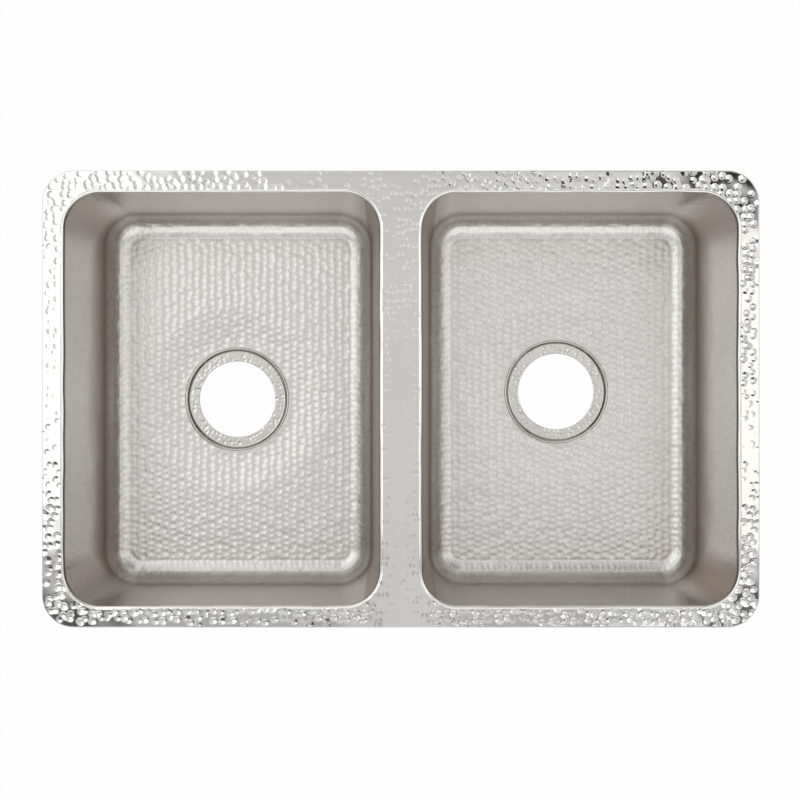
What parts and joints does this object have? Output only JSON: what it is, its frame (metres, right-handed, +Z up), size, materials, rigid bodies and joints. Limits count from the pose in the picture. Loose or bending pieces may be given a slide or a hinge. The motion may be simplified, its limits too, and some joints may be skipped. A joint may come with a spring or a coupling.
{
  "type": "double bowl kitchen sink",
  "caption": "Hammered metal kitchen sink with two equal deep bowls side by side in one flat rim, each with a recessed drain seat and open waste hole.",
  "frame": {"origin": "centre of the rim's flat underside, in the plane of the worktop that the rim lies on", "axes": "+X along the sink's long side to the right bowl, +Y to the back, +Z up"},
  "size_m": [0.797, 0.508, 0.2111],
  "materials": {
    "polished_nickel": "polished",
    "satin_nickel": "satin",
    "seat_nickel": "gloss",
    "weld_metal": "satin"
  },
  "bodies": {
    "root": {"rim_frame": "polished_nickel", "left_bowl_wall": "satin_nickel", "left_bowl_floor": "satin_nickel", "left_drain_seat": "seat_nickel", "left_rim_weld": "weld_metal", "left_floor_weld": "weld_metal", "left_wall_weld": "weld_metal", "left_drain_weld": "weld_metal", "right_bowl_wall": "satin_nickel", "right_bowl_floor": "satin_nickel", "right_drain_seat": "seat_nickel", "right_rim_weld": "weld_metal", "right_floor_weld": "weld_metal", "right_wall_weld": "weld_metal", "right_drain_weld": "weld_metal"}
  },
  "joints": []
}
